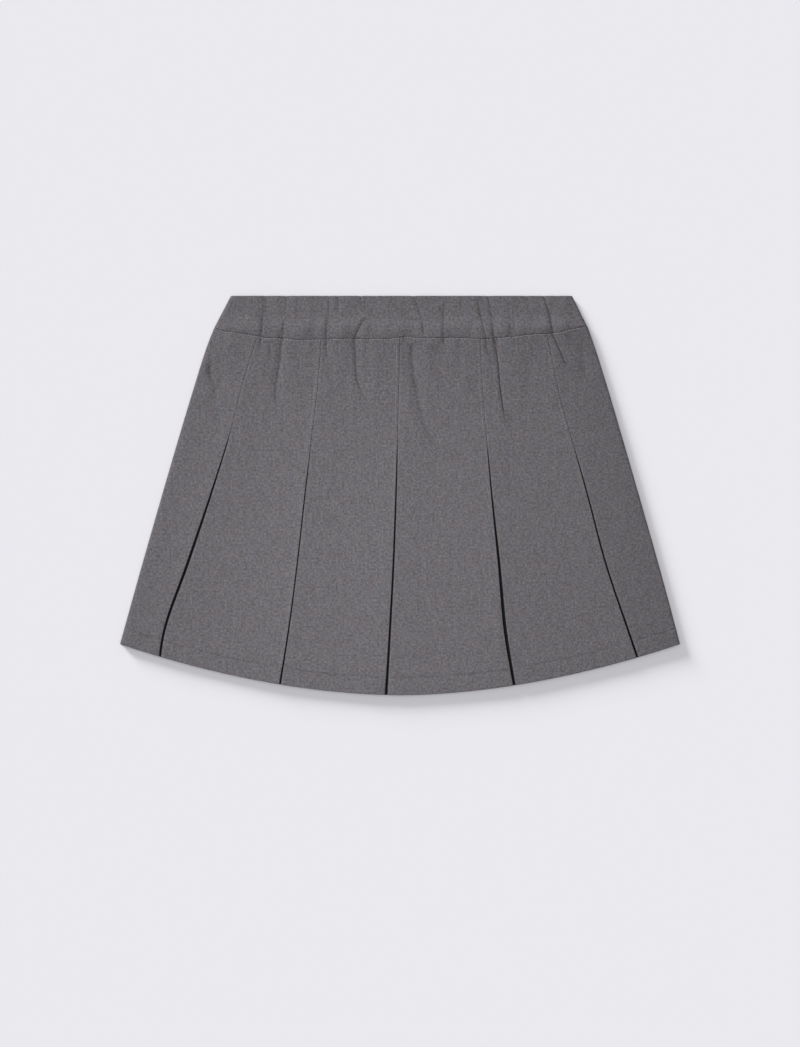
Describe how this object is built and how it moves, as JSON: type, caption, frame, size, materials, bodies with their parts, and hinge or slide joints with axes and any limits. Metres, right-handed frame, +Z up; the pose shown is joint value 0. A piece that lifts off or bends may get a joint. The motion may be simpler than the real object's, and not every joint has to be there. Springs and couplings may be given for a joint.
{
  "type": "pleated mini skirt",
  "caption": "Flared mini skirt laid flat: gathered elastic waistband and knife pleats that are stitched down at the hip and open to a curved hem.",
  "frame": {"origin": "middle of the outline, on the surface that the skirt lies on", "axes": "+Y from hem to waist, +X to the right as one looks down on the front, +Z up, out of the front"},
  "size_m": [0.5332, 0.3799, 0.0065],
  "materials": {
    "suiting": "matte melange plain weave",
    "waistband": "matte melange plain weave, gathered"
  },
  "bodies": {
    "root": {"skirt_front": "suiting", "skirt_back": "suiting", "waistband": "waistband"}
  },
  "joints": []
}
